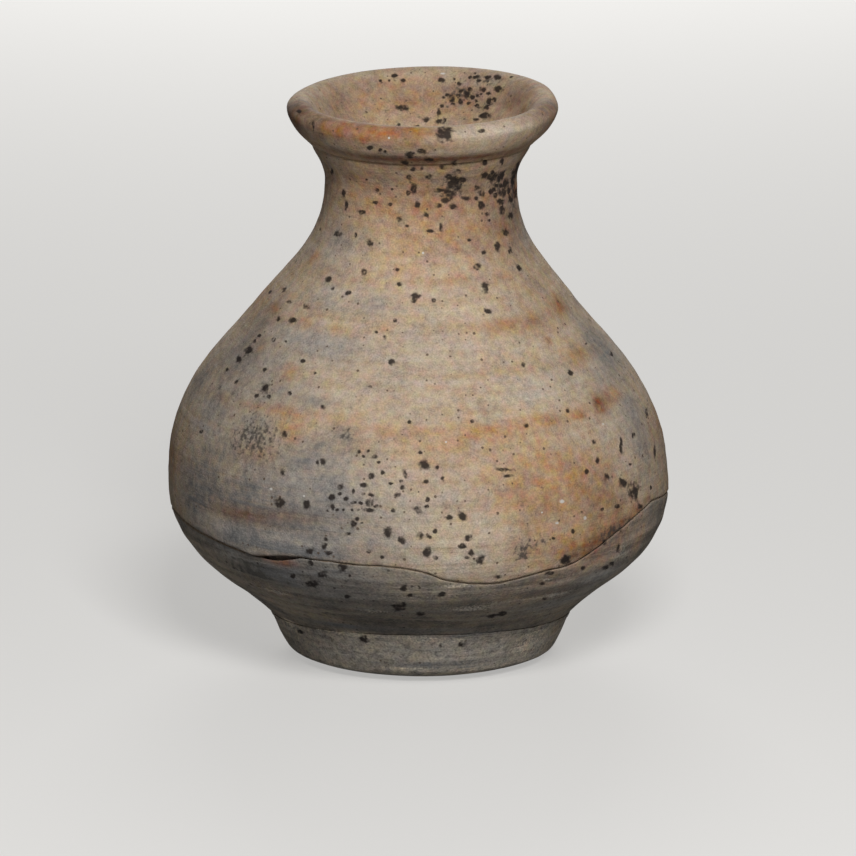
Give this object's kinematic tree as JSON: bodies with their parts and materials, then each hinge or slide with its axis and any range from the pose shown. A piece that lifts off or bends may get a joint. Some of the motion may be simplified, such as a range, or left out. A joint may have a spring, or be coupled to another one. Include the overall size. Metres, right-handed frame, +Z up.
{
  "type": "small ceramic flask",
  "caption": "Small pear-shaped unglazed clay oil flask with a flared, rolled lip, a narrow neck, a luted belly seam and a low disc foot.",
  "frame": {"origin": "centre of the flat face under the foot, on the surface that the flask stands on", "axes": "+Z up along the flask's axis to the mouth, -Y towards the viewer of the picture"},
  "size_m": [0.066, 0.066, 0.0746],
  "materials": {
    "foot_clay": "unglazed, turned, darkened by soil",
    "joint_slip": "dried and fired clay slip",
    "bowl_clay": "unglazed, grey-brown fire clouds and turning marks",
    "body_clay": "unglazed buff clay with orange bands and black specks"
  },
  "bodies": {
    "root": {"foot_disc": "foot_clay", "foot_slip": "joint_slip", "lower_bowl": "bowl_clay", "seam_slip": "joint_slip", "upper_shell": "body_clay", "lip_roll": "body_clay"}
  },
  "joints": []
}
